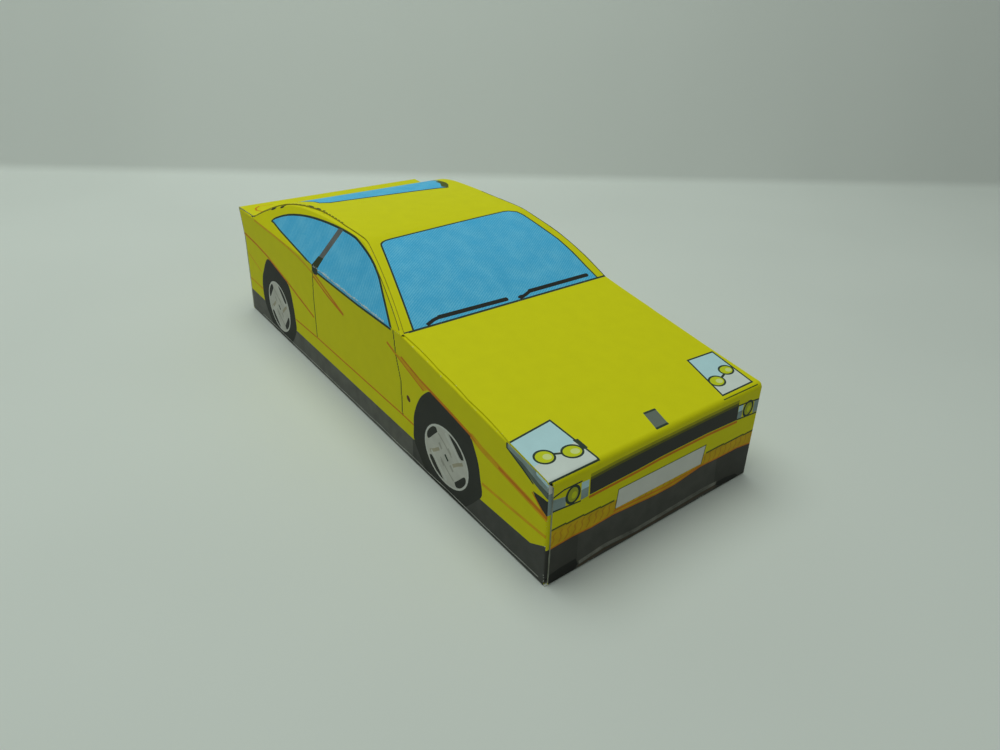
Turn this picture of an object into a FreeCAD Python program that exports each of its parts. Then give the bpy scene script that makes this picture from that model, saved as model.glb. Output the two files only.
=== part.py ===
import FreeCAD, Part
import math
import os

from FreeCAD import Vector

# Folded card model of a coupe car, in millimetres.
# +Z is up, the car's front faces -Y and its left side is +X.
# The origin is on the ground, in the middle of the model's length and width.

# Sheet
card = 0.25

# Body, seen from the side
overall_length = 100.8
body_width = 42.5
cabin_length = 58.2
boot_length = 7.3
nose_setback = 0.8
nose_height = 16.8
cowl_height = 21.8
boot_rise = 1.1
tail_overhang = 0.8
tail_bend_inset = 1.3
tail_bend_drop = 5.9

# Roof strip: its rise over the cowl crease, its slope in degrees at the ends of each bend,
# and the radius of the tight bend over the windscreen
roof_rise = 7.88
windscreen_foot_slope = 26.5
windscreen_top_slope = 18.0
roof_front_slope = 2.0
roof_rear_slope = -5.0
rear_window_slope = -34.0
header_radius = 9.0

# Cabin sides
cabin_lean = 32.0
strip_inset = 0.3

# Glue tabs
tab_width = 4.0
tab_chamfer = 2.5
tab_end_gap = 0.8
boot_tab_width = 3.0
boot_tab_chamfer = 1.5
roof_tab_width = 3.0
roof_tab_end_gap = 5.0
notch_pitch = 4.6
notch_mouth = 1.8
notch_root = 0.7

# How closely the faces of a panel meet
tolerance = 1e-6

half_width = body_width / 2
front_y = -overall_length / 2
tail_tip_y = overall_length / 2
boot_crease_y = tail_tip_y - boot_length
cowl_crease_y = boot_crease_y - cabin_length
boot_height = cowl_height + boot_rise
lean = math.radians(cabin_lean)

# Outline of the folded sheet seen from the side, as (y, z) points from the front bottom edge up and over
FRONT, BONNET, ROOF, BOOT, SPOILER, TAIL, BASE = range(7)
body = [
    (front_y, 0.0),
    (front_y + nose_setback, nose_height),
    (cowl_crease_y, cowl_height),
    (boot_crease_y, boot_height),
    (tail_tip_y, boot_height),
    (tail_tip_y - tail_bend_inset, boot_height - tail_bend_drop),
    (tail_tip_y - tail_overhang, 0.0),
]


def climb(slope):
    # The direction along a line seen from the side, at this slope in degrees
    angle = math.radians(slope)
    return (math.cos(angle), math.sin(angle))


def outward(slope):
    # The direction square to that line, away from the car
    y, z = climb(slope)
    return (-z, y)


def shifted(point, direction, distance):
    return (point[0] + direction[0] * distance, point[1] + direction[1] * distance)


def lines_meet(p, d, q, e):
    # Where the line through p along d meets the line through q along e
    cross = d[0] * e[1] - d[1] * e[0]
    along = ((q[0] - p[0]) * e[1] - (q[1] - p[1]) * e[0]) / cross
    return shifted(p, d, along)


def edge_direction(points, i):
    p = points[i]
    q = points[(i + 1) % len(points)]
    length = math.hypot(q[0] - p[0], q[1] - p[1])
    return ((q[0] - p[0]) / length, (q[1] - p[1]) / length)


def inset(points, distances):
    # Every edge moves inwards by its own distance
    lines = []
    for i, distance in enumerate(distances):
        d = edge_direction(points, i)
        lines.append((shifted(points[i], (d[1], -d[0]), distance), d))
    corners = []
    for i in range(len(points)):
        before = lines[i - 1]
        after = lines[i]
        corners.append(lines_meet(before[0], before[1], after[0], after[1]))
    return corners


def at_x(x, points):
    return [Vector(x, y, z) for y, z in points]


def face_of(corners):
    return Part.Face(Part.makePolygon(corners + corners[:1]))


def plate(outer, inner):
    # A flat plate between two parallel outlines whose matching edges are parallel
    faces = [face_of(outer), face_of(inner)]
    for i in range(len(outer)):
        j = (i + 1) % len(outer)
        faces.append(face_of([outer[i], outer[j], inner[j], inner[i]]))
    solid = Part.Solid(Part.Shell(faces))
    solid.fix(tolerance, tolerance, tolerance)
    return solid


# The sheet's inner face, one card thickness in, and the outer face of the tabs glued under it
sheet_inner = inset(body, [card] * len(body))

# The side panel's outer face stops under the sheet, and its creases are mitred
side_outer = inset(body, [card] * 6 + [0.0])
hinge_mitre = card * math.tan(lean / 2)
side_inner = inset(side_outer, [card, card, hinge_mitre, card, card, card, card])


# The strip's four bends, from the cowl crease to the boot crease, are each tangent to the next
slopes = [windscreen_foot_slope, windscreen_top_slope, roof_front_slope, roof_rear_slope, rear_window_slope]


def unit_step(start, end):
    # How far a bend of radius 1 goes along and up between two slopes
    a = outward(start)
    b = outward(end)
    return (b[0] - a[0], b[1] - a[1])


def roof_radii():
    # The tight bend has its own radius. The other three are as large as they must be for the strip
    # to climb to its top, the level point of the roof bend, and to come down to the boot crease.
    windscreen, header, roof, rear = [unit_step(a, b) for a, b in zip(slopes, slopes[1:])]
    to_top = unit_step(roof_front_slope, 0.0)
    # Each bend's part in three sums: the way along to the boot crease, up to it, and up to the top
    a = Vector(windscreen[0], windscreen[1], windscreen[1])
    b = Vector(roof[0], roof[1], to_top[1])
    c = Vector(rear[0], rear[1], 0.0)
    wanted = Vector(cabin_length, boot_rise, roof_rise) - Vector(header[0], header[1], header[1]) * header_radius
    whole = a.dot(b.cross(c))
    windscreen_radius = wanted.dot(b.cross(c)) / whole
    roof_radius = wanted.dot(c.cross(a)) / whole
    rear_window_radius = wanted.dot(a.cross(b)) / whole
    return [windscreen_radius, header_radius, roof_radius, rear_window_radius]


bend_radii = roof_radii()
bend_points = [body[ROOF]]
for radius, start, end in zip(bend_radii, slopes, slopes[1:]):
    bend_points.append(shifted(bend_points[-1], unit_step(start, end), radius))


def roof_line(depth):
    # The strip's line seen from the side, moved inwards by depth: its edges, first point and last point.
    # Under the outer face it runs on straight at both ends, to the creases' mitres.
    joints = [shifted(p, outward(slope), -depth) for p, slope in zip(bend_points, slopes)]
    flats = inset(body, [depth] * len(body))
    start = lines_meet(joints[0], climb(slopes[0]), flats[ROOF], edge_direction(body, BONNET))
    end = lines_meet(joints[-1], climb(slopes[-1]), flats[BOOT], edge_direction(body, BOOT))
    edges = []
    for i, radius in enumerate(bend_radii):
        centre = shifted(bend_points[i], outward(slopes[i]), -radius)
        middle = shifted(centre, outward((slopes[i] + slopes[i + 1]) / 2), radius - depth)
        edges.append(Part.Arc(*at_x(0, [joints[i], middle, joints[i + 1]])).toShape())
    if depth > 0:
        edges.append(Part.LineSegment(*at_x(0, [start, joints[0]])).toShape())
        edges.append(Part.LineSegment(*at_x(0, [joints[-1], end])).toShape())
    return edges, start, end


def across(edges, closing_points):
    # The area closed by the edges and straight runs through the closing points, as wide as the body
    corners = at_x(0, closing_points)
    for p, q in zip(corners, corners[1:]):
        edges = edges + [Part.LineSegment(p, q).toShape()]
    area = Part.Face(Part.Wire(Part.__sortEdges__(edges)))
    area.translate(Vector(-half_width, 0, 0))
    return area.extrude(Vector(body_width, 0, 0))


def band(depth):
    # One thickness of card whose outer face lies at this depth under the strip's outer face
    upper, upper_start, upper_end = roof_line(depth)
    lower, lower_start, lower_end = roof_line(depth + card)
    first = Part.LineSegment(*at_x(0, [upper_start, lower_start])).toShape()
    last = Part.LineSegment(*at_x(0, [upper_end, lower_end])).toShape()
    area = Part.Face(Part.Wire(Part.__sortEdges__(upper + lower + [first, last])))
    area.translate(Vector(-half_width, 0, 0))
    return area.extrude(Vector(body_width, 0, 0))


# The crease that the cabin side leans in from, and the directions of the leaning plane
hinge_direction = edge_direction(body, ROOF)
hinge_up = Vector(0, -hinge_direction[1], hinge_direction[0])


def lean_directions(side):
    out = Vector(side, 0, 0)
    up = hinge_up * math.cos(lean) - out * math.sin(lean)
    normal = out * math.cos(lean) + hinge_up * math.sin(lean)
    return up, normal


def outside_of_cabin(side, depth):
    # All that lies beyond the cabin side's outer face, moved inwards by depth
    up, normal = lean_directions(side)
    middle = Vector(side * half_width, *side_outer[ROOF]) - normal * depth
    along = Vector(0, *hinge_direction) * overall_length
    rise = up * overall_length
    area = face_of([middle - along - rise, middle + along - rise, middle + along + rise, middle - along + rise])
    return area.extrude(normal * overall_length)


def strip_half_width():
    # Half the strip's width at the cowl and boot creases, where bonnet and boot meet it
    normal = lean_directions(1)[1]
    rise = Vector(0, *body[ROOF]) - Vector(0, *side_outer[ROOF])
    return half_width - (rise.dot(normal) + strip_inset) / normal.x


def flat_sheet(edge):
    # A flat panel of the top sheet along one edge of the body, as wide as the body, mitred into its neighbours
    def corners(points):
        (y0, z0), (y1, z1) = points[edge], points[edge + 1]
        return [
            Vector(-half_width, y0, z0),
            Vector(-half_width, y1, z1),
            Vector(half_width, y1, z1),
            Vector(half_width, y0, z0),
        ]

    return plate(corners(body), corners(sheet_inner))


def narrowed_sheet(edge, half_start, half_end):
    # The same panel with both its cut edges slanted, from one half width at its start to another at its end
    y0 = body[edge][0]
    y1 = body[edge + 1][0]
    slant = (half_end - half_start) / (y1 - y0)
    outline = []
    for y in (y0 - card, y1 + card):
        half = half_start + slant * (y - y0)
        outline.append((half, y))
    (h0, a), (h1, b) = outline
    area = face_of([Vector(-h0, a, 0), Vector(h0, a, 0), Vector(h1, b, 0), Vector(-h1, b, 0)])
    return flat_sheet(edge).common(area.extrude(Vector(0, 0, overall_length))).Solids[0]


def base_panel():
    def corners(half, points, z):
        y0 = points[FRONT][0]
        y1 = points[BASE][0]
        return [Vector(-half, y0, z), Vector(half, y0, z), Vector(half, y1, z), Vector(-half, y1, z)]

    return plate(corners(half_width, body, 0), corners(half_width - card, sheet_inner, card))


def side_panel(side):
    outer = at_x(side * half_width, side_outer)
    inner = at_x(side * (half_width - card), side_inner)
    return plate(outer, inner)


def cabin_panel(side):
    # The leaning upper side, cut to the strip's curve, with room for the folded-in roof tab
    foot = [Vector(side * half_width, *side_outer[i]) for i in (ROOF, BOOT)]
    inner_foot = [Vector(side * (half_width - card), *side_inner[i]) for i in (ROOF, BOOT)]
    past_roof = lean_directions(side)[0] * overall_length
    outer = [foot[0], foot[1], foot[1] + past_roof, foot[0] + past_roof]
    inner = [inner_foot[0], inner_foot[1], inner_foot[1] + past_roof, inner_foot[0] + past_roof]
    leaning = plate(outer, inner)
    edges, start, end = roof_line(card)
    under_roof = across(edges, [end, (end[0], 0.0), (start[0], 0.0), start])
    return leaning.common(under_roof).cut(tab_strip(side)).Solids[0]


def roof_strip():
    strip = band(0.0)
    for side in (-1, 1):
        strip = strip.cut(outside_of_cabin(side, strip_inset))
    return strip.Solids[0]


roof_tab_start = cowl_crease_y + roof_tab_end_gap
roof_tab_end = boot_crease_y - roof_tab_end_gap


def tab_strip(side):
    # The roof tab before its notches are cut
    length = roof_tab_end - roof_tab_start
    keep = Part.makeBox(body_width, length, overall_length, Vector(-half_width, roof_tab_start, 0))
    strip = band(card).cut(outside_of_cabin(side, 0.0))
    return strip.common(outside_of_cabin(side, roof_tab_width)).common(keep)


def notch(side, y):
    # A wedge whose point stops short of the fold, its mouth past the tab's inner edge
    up, normal = lean_directions(side)
    fold = Vector(side * half_width, y, side_outer[ROOF][1])
    mouth = fold - normal * (roof_tab_width + notch_root)
    half_mouth = Vector(0, notch_mouth / 2, 0)
    area = face_of([fold - normal * notch_root, mouth - half_mouth, mouth + half_mouth])
    return area.extrude(up * overall_length)


def roof_tab(side):
    # Folded in under the strip along the cabin's curve, with a notch between each two teeth
    tab = tab_strip(side)
    count = int((roof_tab_end - roof_tab_start) / notch_pitch)
    start = (roof_tab_start + roof_tab_end - (count - 1) * notch_pitch) / 2
    for n in range(count):
        tab = tab.cut(notch(side, start + n * notch_pitch))
    return tab.Solids[0]


def flat_tab(side, edge, width, chamfer):
    # A tab glued under a flat panel, folded in from the side panel, with slanted ends
    (dy, dz) = edge_direction(body, edge)
    along = Vector(0, dy, dz)
    inward = Vector(0, dz, -dy)
    origin = Vector(0, *side_outer[edge])
    length = (Vector(0, *side_outer[edge + 1]) - origin).dot(along)
    fold_shift = chamfer * card / width

    def corner(s, from_fold, depth):
        return origin + along * s + inward * depth + Vector(side * (half_width - from_fold), 0, 0)

    outer = [
        corner(tab_end_gap, 0, 0),
        corner(length - tab_end_gap, 0, 0),
        corner(length - tab_end_gap - chamfer, width, 0),
        corner(tab_end_gap + chamfer, width, 0),
    ]
    inner = [
        corner(tab_end_gap + fold_shift, card, card),
        corner(length - tab_end_gap - fold_shift, card, card),
        corner(length - tab_end_gap - chamfer, width, card),
        corner(tab_end_gap + chamfer, width, card),
    ]
    return plate(outer, inner)


def export(shape, node):
    shape.exportStep("parts/" + node + ".step")


os.makedirs("parts", exist_ok=True)
crease_half = strip_half_width()
export(base_panel(), "base_panel")
export(flat_sheet(FRONT), "front_panel")
export(narrowed_sheet(BONNET, half_width, crease_half), "bonnet_panel")
export(roof_strip(), "roof_strip")
export(narrowed_sheet(BOOT, crease_half, half_width), "boot_panel")
export(flat_sheet(SPOILER), "spoiler_panel")
export(flat_sheet(TAIL), "tail_panel")
for side, name in ((-1, "right"), (1, "left")):
    export(side_panel(side), "side_panel_" + name)
    export(cabin_panel(side), "cabin_panel_" + name)
    export(flat_tab(side, FRONT, tab_width, tab_chamfer), "front_tab_" + name)
    export(flat_tab(side, BONNET, tab_width, tab_chamfer), "bonnet_tab_" + name)
    export(roof_tab(side), "roof_tab_" + name)
    export(flat_tab(side, BOOT, boot_tab_width, boot_tab_chamfer), "boot_tab_" + name)
    export(flat_tab(side, TAIL, tab_width, tab_chamfer), "tail_tab_" + name)
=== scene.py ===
import math

import bpy
import numpy as np
from mathutils import Matrix, Vector, noise
from mathutils.geometry import delaunay_2d_cdt


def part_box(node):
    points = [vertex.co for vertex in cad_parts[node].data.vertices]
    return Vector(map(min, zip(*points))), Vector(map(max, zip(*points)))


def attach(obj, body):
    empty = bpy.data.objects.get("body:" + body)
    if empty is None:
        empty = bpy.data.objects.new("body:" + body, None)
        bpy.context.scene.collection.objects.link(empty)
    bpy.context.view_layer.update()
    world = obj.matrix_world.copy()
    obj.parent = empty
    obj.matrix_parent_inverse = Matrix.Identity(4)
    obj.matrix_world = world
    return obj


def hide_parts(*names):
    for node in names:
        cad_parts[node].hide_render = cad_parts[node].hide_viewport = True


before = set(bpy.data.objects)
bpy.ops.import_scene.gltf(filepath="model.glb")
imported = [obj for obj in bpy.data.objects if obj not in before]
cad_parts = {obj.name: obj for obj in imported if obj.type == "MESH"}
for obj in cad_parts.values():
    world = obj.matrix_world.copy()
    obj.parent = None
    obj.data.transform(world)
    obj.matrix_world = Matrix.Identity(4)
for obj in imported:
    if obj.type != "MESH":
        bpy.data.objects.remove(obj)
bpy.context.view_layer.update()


# Camera
# It looks down over the model's front right corner from a hand's breadth away.
# Its place and its angles come from the model's corners in a photo of 1000 by 750 pixels.
# Sizes are in millimetres, as on the cutting sheet, and become metres where they enter the scene.
scene = bpy.context.scene
MM = 0.001
photo_width = 1000
focal_pixels = 730.7
camera_place = Vector((-69.744, -99.062, 72.651))
camera_yaw = 0.678
camera_pitch = 0.536
camera_roll = 0.051
sensor_width = 36
nearest = 2

view = Vector((
    math.sin(camera_yaw) * math.cos(camera_pitch),
    math.cos(camera_yaw) * math.cos(camera_pitch),
    -math.sin(camera_pitch),
))
level = view.cross(Vector((0, 0, 1))).normalized()
upright = level.cross(view)
camera_right = level * math.cos(camera_roll) + upright * math.sin(camera_roll)
camera_up = upright * math.cos(camera_roll) - level * math.sin(camera_roll)
camera = bpy.data.objects.new("camera", bpy.data.cameras.new("camera"))
camera.data.sensor_width = sensor_width
camera.data.lens = focal_pixels * sensor_width / photo_width
camera.data.clip_start = nearest * MM
camera_turn = Matrix((camera_right, camera_up, -view)).transposed().to_4x4()
camera.matrix_world = Matrix.Translation(camera_place * MM) @ camera_turn
scene.collection.objects.link(camera)
scene.camera = camera
scene.view_settings.view_transform = "Standard"


# Floor and backdrop
# One large sheet of white paper lies under the model and curves up behind it into a low wall.
# Its bend is the soft horizon of the picture.
def add_node(tree, kind, **settings):
    node = tree.nodes.new(kind)
    for key, value in settings.items():
        setattr(node, key, value)
    return node


def add_noise(tree, vector, size, detail=2.0):
    # A flat noise whose grains are about this many millimetres across
    grains = add_node(tree, "ShaderNodeTexNoise", noise_dimensions="2D")
    grains.inputs["Scale"].default_value = 1 / size
    grains.inputs["Detail"].default_value = detail
    tree.links.new(vector, grains.inputs["Vector"])
    return grains.outputs[0]


def add_math(tree, operation, *terms):
    step = add_node(tree, "ShaderNodeMath", operation=operation)
    for socket, term in zip(step.inputs, terms):
        if isinstance(term, bpy.types.NodeSocket):
            tree.links.new(term, socket)
        else:
            socket.default_value = term
    return step.outputs[0]


def add_range(tree, value, low, high, to_low=0.0, to_high=1.0):
    step = add_node(tree, "ShaderNodeMapRange")
    for socket, number in zip(step.inputs[1:5], (low, high, to_low, to_high)):
        socket.default_value = number
    tree.links.new(value, step.inputs[0])
    return step.outputs[0]


def add_mix(tree, factor, first, second):
    # Blends two colours, each a socket or a plain colour
    step = add_node(tree, "ShaderNodeMix", data_type="RGBA")
    tree.links.new(factor, step.inputs[0])
    for socket, colour in ((step.inputs[6], first), (step.inputs[7], second)):
        if isinstance(colour, bpy.types.NodeSocket):
            tree.links.new(colour, socket)
        else:
            socket.default_value = (*colour, 1)
    return step.outputs[2]


paper_gloss = 0.1


def new_surface(name, roughness):
    # A dull material and its shader, with the constant values on the shader's own sockets
    material = bpy.data.materials.new(name)
    material.use_nodes = True
    shader = material.node_tree.nodes["Principled BSDF"]
    shader.inputs["Roughness"].default_value = roughness
    shader.inputs["Specular IOR Level"].default_value = paper_gloss
    return material, shader


floor_colour = (0.76, 0.77, 0.76)
floor_shade = (0.73, 0.74, 0.73)
cloud_size = 90
floor_paper, floor_shader = new_surface("floor_paper", roughness=0.8)
floor_tree = floor_paper.node_tree
floor_place = add_node(floor_tree, "ShaderNodeTexCoord").outputs["Object"]
floor_clouds = add_noise(floor_tree, floor_place, size=cloud_size * MM)
floor_tint = add_mix(floor_tree, add_range(floor_tree, floor_clouds, 0.35, 0.7), floor_colour, floor_shade)
floor_tree.links.new(floor_tint, floor_shader.inputs["Base Color"])

bend_left = Vector((-52.0, 190.3))
bend_right = Vector((248.5, 1.2))
bend_radius = 3.5
wall_slope = math.radians(72)
wall_length = 110.0
floor_reach = 420.0
bend_steps = 8

bend_along = (bend_right - bend_left).normalized()
bend_away = Vector((-bend_along.y, bend_along.x))
bend_middle = bend_left.lerp(bend_right, 0.5)
profile = [(-2 * floor_reach, 0.0)]
for i in range(bend_steps + 1):
    angle = wall_slope * i / bend_steps
    profile.append((bend_radius * math.sin(angle), bend_radius * (1 - math.cos(angle))))
foot = profile[-1]
profile.append((foot[0] + wall_length * math.cos(wall_slope), foot[1] + wall_length * math.sin(wall_slope)))
floor_points = []
for away, height in profile:
    for along in (-floor_reach, floor_reach):
        spot = bend_middle + bend_away * away + bend_along * along
        floor_points.append((spot.x * MM, spot.y * MM, height * MM))
floor_faces = [(2 * i, 2 * i + 1, 2 * i + 3, 2 * i + 2) for i in range(len(profile) - 1)]
floor_mesh = bpy.data.meshes.new("paper_floor")
floor_mesh.from_pydata(floor_points, [], floor_faces)
floor_mesh.shade_smooth()
floor_mesh.materials.append(floor_paper)
floor = bpy.data.objects.new("paper_floor", floor_mesh)
scene.collection.objects.link(floor)


# Light
# One wide soft lamp hangs over the paper, a little behind the model and to its right.
# The model's sides and front get only the light that the paper throws back, and the dim room's.
lamp_place = Vector((-42, 62, 385))
lamp_width = 360
lamp_watts = 0.93
room_glow = 0.17
light_colour = (0.885, 1.0, 0.905)
lamp = bpy.data.objects.new("ceiling_light", bpy.data.lights.new("ceiling_light", "AREA"))
lamp.data.shape = "DISK"
lamp.data.size = lamp_width * MM
lamp.data.energy = lamp_watts
lamp.data.color = light_colour
lamp_aim = (-lamp_place).to_track_quat("-Z", "Y").to_matrix().to_4x4()
lamp.matrix_world = Matrix.Translation(lamp_place * MM) @ lamp_aim
scene.collection.objects.link(lamp)
world = bpy.data.worlds.new("room")
world.use_nodes = True
background = world.node_tree.nodes["Background"]
background.inputs["Color"].default_value = (*light_colour, 1)
background.inputs["Strength"].default_value = room_glow
scene.world = world


# Base panel
# The underside is a plain rectangle of the same white card, scored along all four edges.
# The sides, the nose and the tail are folded up from it.
def millimetres(node):
    # The two far corners of a node's box
    low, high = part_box(node)
    return low / MM, high / MM


card = millimetres("base_panel")[1].z
fold_radius = 0.3
rounding_steps = 4
wear_reach = 0.35


def fold(turn, wear, radius=fold_radius):
    # A scored edge: how far the card turns there, how far its ink is cracked, the radius of its outer face.
    # The flat of the panel ends at the tangent, and the panel itself half way round the bend.
    tangent = radius * math.tan(turn / 2)
    start = tangent - radius * math.sin(turn / 2)
    return {"turn": turn, "radius": radius, "wear": wear, "tangent": tangent, "start": start}


CUT = None
cut_wear = 0.3
cut_wobble = 0.05
cut_waviness = 0.35
cut_seed = 7.3
cut_step = 1.6
tiny = 1e-5


def turning(outline):
    # 1 for an outline that runs anticlockwise, -1 for one that runs clockwise
    twice_area = sum(p[0] * q[1] - q[0] * p[1] for p, q in zip(outline, outline[1:] + outline[:1]))
    return 1 if twice_area > 0 else -1


def inset_outline(outline, distances):
    # Every edge moves inwards by its own distance
    sign = turning(outline)
    lines = []
    for p, q, distance in zip(outline, outline[1:] + outline[:1], distances):
        direction = (Vector(q) - Vector(p)).normalized()
        inward = Vector((-direction.y, direction.x)) * sign
        lines.append((Vector(p) + inward * distance, direction))
    corners = []
    for (p, d), (q, e) in zip(lines[-1:] + lines[:-1], lines):
        cross = d.x * e.y - d.y * e.x
        if abs(cross) < tiny:
            corners.append(q)
        else:
            corners.append(p + d * (((q.x - p.x) * e.y - (q.y - p.y) * e.x) / cross))
    return corners


def box(left, right, low, high):
    # A rectangle on the drawing, from its lower left corner round to its upper left one
    return [(left, low), (right, low), (right, high), (left, high)]


def near_ends(p, q):
    # Two points on an edge, close to its ends, so that the wear of a corner doesn't spread along it
    near = (q - p).normalized() * min(wear_reach, (q - p).length / 3)
    return [p + near, q - near]


def cut_by_hand(corners, folds):
    # Cut edges wander a little inwards, as scissors leave them, and folded edges stay straight
    sign = turning(corners)
    points = []
    for p, q, bend in zip(corners, corners[1:] + corners[:1], folds):
        points.append(p)
        if bend is not CUT:
            points += near_ends(p, q)
        pieces = int((q - p).length / cut_step)
        if bend is CUT and pieces > 1:
            side = (q - p).normalized()
            inward = Vector((-side.y, side.x)) * sign
            for i in range(1, pieces):
                spot = p.lerp(q, i / pieces)
                wobble = 0.5 + noise.noise(Vector((spot.x * cut_waviness, spot.y * cut_waviness, cut_seed)))
                points.append(spot + inward * max(0.0, wobble) * cut_wobble)
    return points


def inside(loop, x, y):
    # Which of the points lie within a closed loop
    found = np.zeros(len(x), bool)
    for (x0, y0), (x1, y1) in zip(loop, loop[1:] + loop[:1]):
        if y0 != y1:
            crossing = (y0 > y) != (y1 > y)
            found ^= crossing & (x < x0 + (y - y0) * (x1 - x0) / (y1 - y0))
    return found


def split_by_print(boundary, guides, shapes):
    # Triangles of a panel that follow its folds and the outlines of everything printed on it,
    # each with the number of the shape that shows there, the last one printed, or -1 for the ground
    points = [Vector(p[:2]) for p in boundary]
    edges = []
    for chain in guides:
        edges += [(len(points) + i, len(points) + i + 1) for i in range(len(chain) - 1)]
        points += [Vector(p[:2]) for p in chain]
    for material, loop in shapes:
        count = len(loop)
        edges += [(len(points) + i, len(points) + (i + 1) % count) for i in range(count)]
        points += [Vector(p[:2]) for p in loop]
    corners, _, faces, *_ = delaunay_2d_cdt(points, edges, [list(range(len(boundary)))], 0, tiny)
    corners = np.array([tuple(c) for c in corners])
    faces = np.array(faces)
    middle = corners[faces].mean(1)
    faces = faces[inside([tuple(p) for p in boundary], middle[:, 0], middle[:, 1])]
    middle = corners[faces].mean(1)
    shown = np.full(len(faces), -1)
    for number, (material, loop) in enumerate(shapes):
        shown[inside([tuple(p[:2]) for p in loop], middle[:, 0], middle[:, 1])] = number
    used, faces = np.unique(faces, return_inverse=True)
    return corners[used], faces.reshape(-1, 3), shown


def bend_and_wear(corners, outline, folds):
    # For each point: how far it sinks round a fold, how far the card leans there and which way,
    # and how worn the ink is
    sign = turning(outline)
    depth = np.zeros(len(corners))
    leaning = np.zeros(len(corners))
    outward = np.zeros((len(corners), 2))
    wear = np.zeros(len(corners))
    for p, q, bend in zip(outline, outline[1:] + outline[:1], folds):
        p = np.array(p[:2])
        run = np.array(q[:2]) - p
        along = np.clip((corners - p) @ run / (run @ run), 0, 1)
        away = np.linalg.norm(corners - p - along[:, None] * run, axis=1)
        if bend is CUT:
            wear = np.maximum(wear, cut_wear * (1 - away / wear_reach))
            continue
        worn = 1 - (away - bend["start"]) / (bend["tangent"] + wear_reach - bend["start"])
        wear = np.maximum(wear, bend["wear"] * worn)
        sine = np.clip((bend["tangent"] - away) / bend["radius"], 0, 1)
        sink = bend["radius"] * (1 - np.sqrt(1 - sine ** 2))
        deeper = sink > depth
        depth[deeper] = sink[deeper]
        leaning[deeper] = sine[deeper]
        outward[deeper] = np.array((run[1], -run[0])) * sign / np.linalg.norm(run)
    return depth, leaning, outward, np.clip(wear, 0, 1)


def fold_guides(outline, folds):
    # The lines where a fold's curve is cut into flats, and one along every edge where its wear ends
    guides = []
    for step in range(rounding_steps + 1):
        share = step / rounding_steps
        distances = []
        for f in folds:
            if f is CUT:
                distances.append(wear_reach if step == rounding_steps else 0.0)
            elif step == rounding_steps:
                distances.append(f["tangent"] + wear_reach)
            else:
                distances.append(f["tangent"] - f["radius"] * math.sin(f["turn"] / 2 * share))
        ring = inset_outline(outline, distances)
        for p, q, distance in zip(ring, ring[1:] + ring[:1], distances):
            if distance > 0:
                guides.append([p, *near_ends(p, q), q])
    return guides


def two_faces(corners, lay, depth, leaning, outward):
    # The points of the printed face and of the back one thickness in, and the normals of the printed face
    outer = []
    inner = []
    normals = []
    for (u, v), sunk, lean, out in zip(corners, depth, leaning, outward):
        place, along, across, normal = lay(u, v)
        level_share = math.sqrt(1 - lean * lean)
        leaned = normal * level_share + (along * out[0] + across * out[1]) * lean
        outer.append(place - normal * sunk)
        inner.append(place - normal * sunk - leaned * card)
        normals.append(leaned)
    return outer + inner, normals


def outer_rim(front):
    # The edges that belong to one triangle only, each in that triangle's direction
    sides = dict.fromkeys(edge for a, b, c in front for edge in ((a, b), (b, c), (c, a)))
    return [edge for edge in sides if (edge[1], edge[0]) not in sides]


def closed_sheet(front, rim, corners, places, normals):
    # All polygons of both faces and the rim, and for each of their corners its normal and its place
    # on the cutting sheet
    count = len(corners)
    polygons = list(front)
    polygons += [(c + count, b + count, a + count) for a, b, c in front]
    polygons += [(a, a + count, b + count, b) for a, b in rim]
    loop_normals = []
    loop_sheet = []
    for number, polygon in enumerate(polygons):
        on_rim = number >= 2 * len(front)
        if on_rim:
            a, b, c, d = [places[i] for i in polygon]
            loop_normals += [(b - a).cross(d - a).normalized()] * 4
        else:
            sign = 1 if number < len(front) else -1
            loop_normals += [normals[i % count] * sign for i in polygon]
        for i in polygon:
            shift = card if on_rim and i >= count else 0.0
            loop_sheet += [corners[i % count][0] + shift, corners[i % count][1] + shift]
    return polygons, loop_normals, loop_sheet


seam_overlap = 0.01
GROUND, BACK, EDGE = range(3)


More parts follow.
